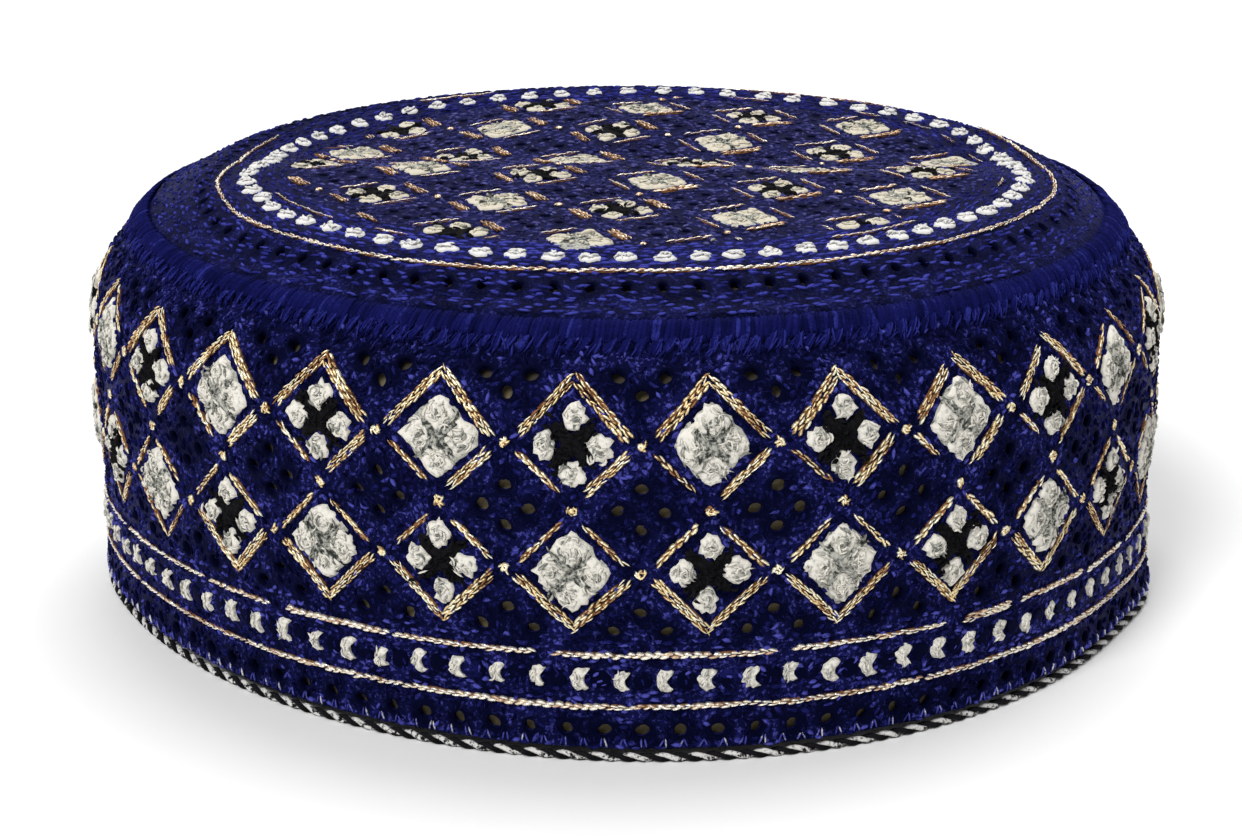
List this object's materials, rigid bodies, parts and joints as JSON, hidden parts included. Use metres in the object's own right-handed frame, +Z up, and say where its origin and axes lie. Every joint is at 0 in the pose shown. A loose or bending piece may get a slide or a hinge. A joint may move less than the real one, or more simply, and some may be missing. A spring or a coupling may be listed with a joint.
{
  "type": "embroidered kufi cap",
  "caption": "Round flat-topped kufi cap: stiff embroidered band and crown, overcast shoulder seam and twisted cord along the lower edge.",
  "frame": {"origin": "under the middle of the cap's plan box, on the surface that the rim cord stands on", "axes": "+Z up through the crown; the front of the cap, as pictured, faces -Y and +X is to the viewer's right"},
  "size_m": [0.1906, 0.188, 0.0763],
  "materials": {
    "crown_cloth": "navy silk-like thread ground, open-work eyelets",
    "band_cloth": "navy silk-like thread ground, open-work eyelets",
    "binding_thread": "glossy royal blue overcast thread",
    "rim_cord_thread": "two-ply cord of black and silver-white thread",
    "gold_thread": "metallic gold chain stitch",
    "white_thread": "off-white loop stitch",
    "black_thread": "black loop stitch"
  },
  "bodies": {
    "root": {"crown": "crown_cloth", "side_band": "band_cloth", "seam_binding": "binding_thread", "rim_cord": "rim_cord_thread"}
  },
  "joints": []
}
